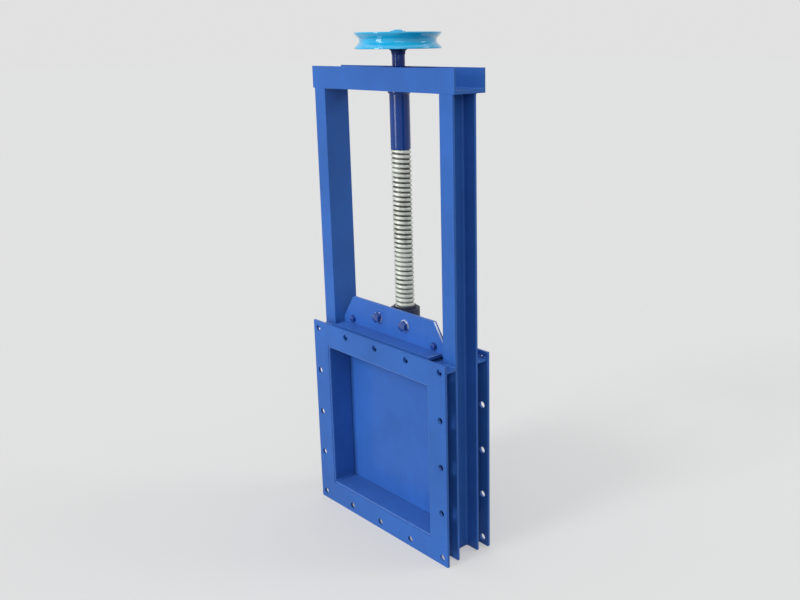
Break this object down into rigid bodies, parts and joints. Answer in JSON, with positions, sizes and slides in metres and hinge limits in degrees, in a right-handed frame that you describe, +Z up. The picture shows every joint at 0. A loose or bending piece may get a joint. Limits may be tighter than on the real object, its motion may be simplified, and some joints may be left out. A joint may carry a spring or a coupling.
{
  "type": "slide gate",
  "caption": "Square-duct slide gate: a blade between two flanged ducts, lifted in a channel-section yoke by a handwheel-driven screw.",
  "frame": {"origin": "on the floor under the axis of the screw, midway between the posts", "axes": "+X across the duct, -Y out of the front flange along the duct, +Z up along the screw"},
  "size_m": [0.404, 0.16, 0.977],
  "materials": {
    "flange_paint": "satin blue paint",
    "body_paint": "satin blue paint",
    "post_paint": "satin blue paint",
    "blade_paint": "satin blue paint",
    "screw_steel": "bright turned steel",
    "nut_iron": "dark cast iron",
    "wheel_paint": "glossy cyan-blue paint"
  },
  "bodies": {
    "frame": {"front_flange": "flange_paint", "rear_flange": "flange_paint", "front_duct_top": "body_paint", "front_seat_top": "body_paint", "front_duct_bottom": "body_paint", "front_seat_bottom": "body_paint", "front_duct_left": "body_paint", "front_seat_left": "body_paint", "front_duct_right": "body_paint", "front_seat_right": "body_paint", "front_shelf": "body_paint", "rear_duct_top": "body_paint", "rear_seat_top": "body_paint", "rear_duct_bottom": "body_paint", "rear_seat_bottom": "body_paint", "rear_duct_left": "body_paint", "rear_seat_left": "body_paint", "rear_duct_right": "body_paint", "rear_seat_right": "body_paint", "rear_shelf": "body_paint", "sill_bar": "body_paint", "left_post": "post_paint", "right_post": "post_paint", "head_beam": "post_paint", "bearing_tube": "post_paint"},
    "spindle": {"screw": "screw_steel", "thrust_collar": "screw_steel", "wheel_rim": "wheel_paint", "wheel_hub": "wheel_paint", "wheel_spokes": "wheel_paint", "wheel_nut": "screw_steel"},
    "gate": {"blade": "blade_paint", "crosshead_angle": "blade_paint", "screw_nut": "nut_iron"}
  },
  "joints": [
    {"name": "spindle_spin", "type": "hinge", "parent": "frame", "child": "spindle", "pos_m": [0, 0, 0.9], "axis": [0, 0, 1], "range_deg": [0, 12000]},
    {"name": "gate_slide", "type": "slide", "parent": "frame", "child": "gate", "axis": [0, 0, 1], "range_m": [0, 0.3]}
  ],
  "couplings": [
    {"joint": "gate_slide", "follows": "spindle_spin", "m_per_rad": 0.001432}
  ]
}
